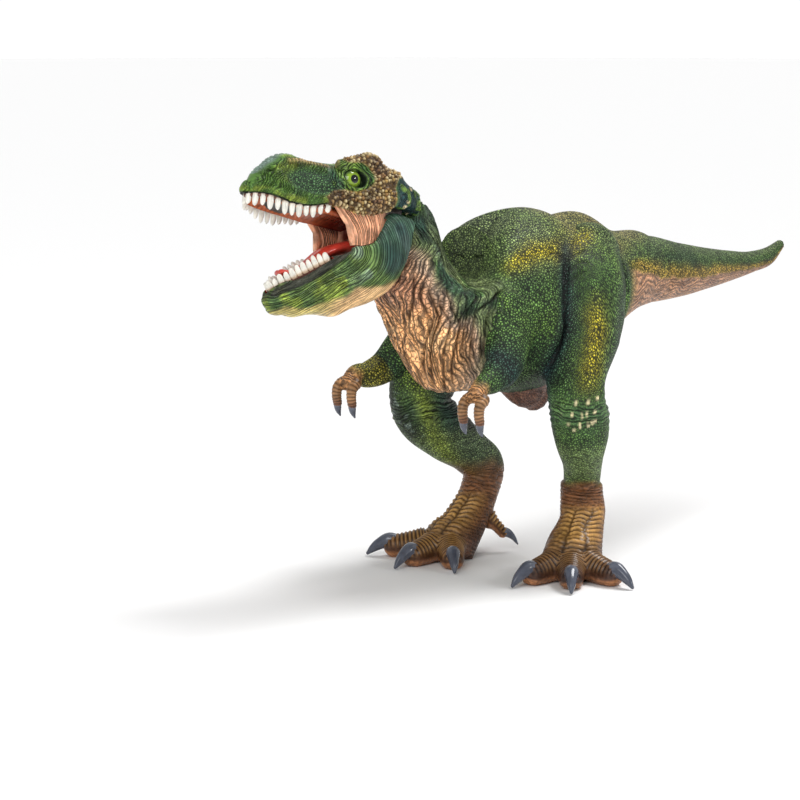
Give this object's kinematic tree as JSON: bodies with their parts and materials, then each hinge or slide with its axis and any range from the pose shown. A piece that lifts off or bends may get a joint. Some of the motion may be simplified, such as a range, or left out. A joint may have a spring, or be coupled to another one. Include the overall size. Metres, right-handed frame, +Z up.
{
  "type": "toy dinosaur figure",
  "caption": "Two-legged hunting dinosaur figure in moulded vinyl, standing, with small arms, a long raised tail and a jaw that opens wide.",
  "frame": {"origin": "middle of the underside of the figure's box, on the surface it stands on", "axes": "head towards -X, tail towards +X, the dinosaur's left side towards -Y, +Z up"},
  "size_m": [0.2834, 0.094, 0.1352],
  "materials": {
    "trunk_skin": "soft vinyl, satin, hand-painted greens over tan",
    "limb_skin": "soft vinyl, satin, hand-painted greens running to brown at the feet",
    "head_skin": "vinyl, satin, hand-painted green and tan",
    "mouth_flesh": "vinyl, satin, pink over dark red",
    "tongue": "vinyl, satin, red",
    "tooth": "glossy cream",
    "claw": "glossy slate grey",
    "eye": "glossy yellow-green with a dark pupil",
    "pin": "plain drawn steel"
  },
  "bodies": {
    "figure": {"trunk_shell": "trunk_skin", "tail": "trunk_skin", "left_leg": "limb_skin", "right_leg": "limb_skin", "left_arm": "limb_skin", "right_arm": "limb_skin", "skull": "head_skin", "mouth_lining": "mouth_flesh", "jaw_pin": "pin", "upper_teeth": "tooth", "left_eye": "eye", "right_eye": "eye", "left_inner_claw": "claw", "left_middle_claw": "claw", "left_outer_claw": "claw", "left_spur_claw": "claw", "right_inner_claw": "claw", "right_middle_claw": "claw", "right_outer_claw": "claw", "right_spur_claw": "claw", "left_inner_finger_claw": "claw", "left_outer_finger_claw": "claw", "right_inner_finger_claw": "claw", "right_outer_finger_claw": "claw"},
    "jaw": {"lower_jaw": "head_skin", "lower_teeth": "tooth", "tongue": "tongue"}
  },
  "joints": [
    {"name": "jaw_hinge", "type": "hinge", "parent": "figure", "child": "jaw", "pos_m": [-0.09672, 0.0037, 0.10997], "axis": [0.1692, 0.9596, -0.225], "range_deg": [0, 24]}
  ]
}
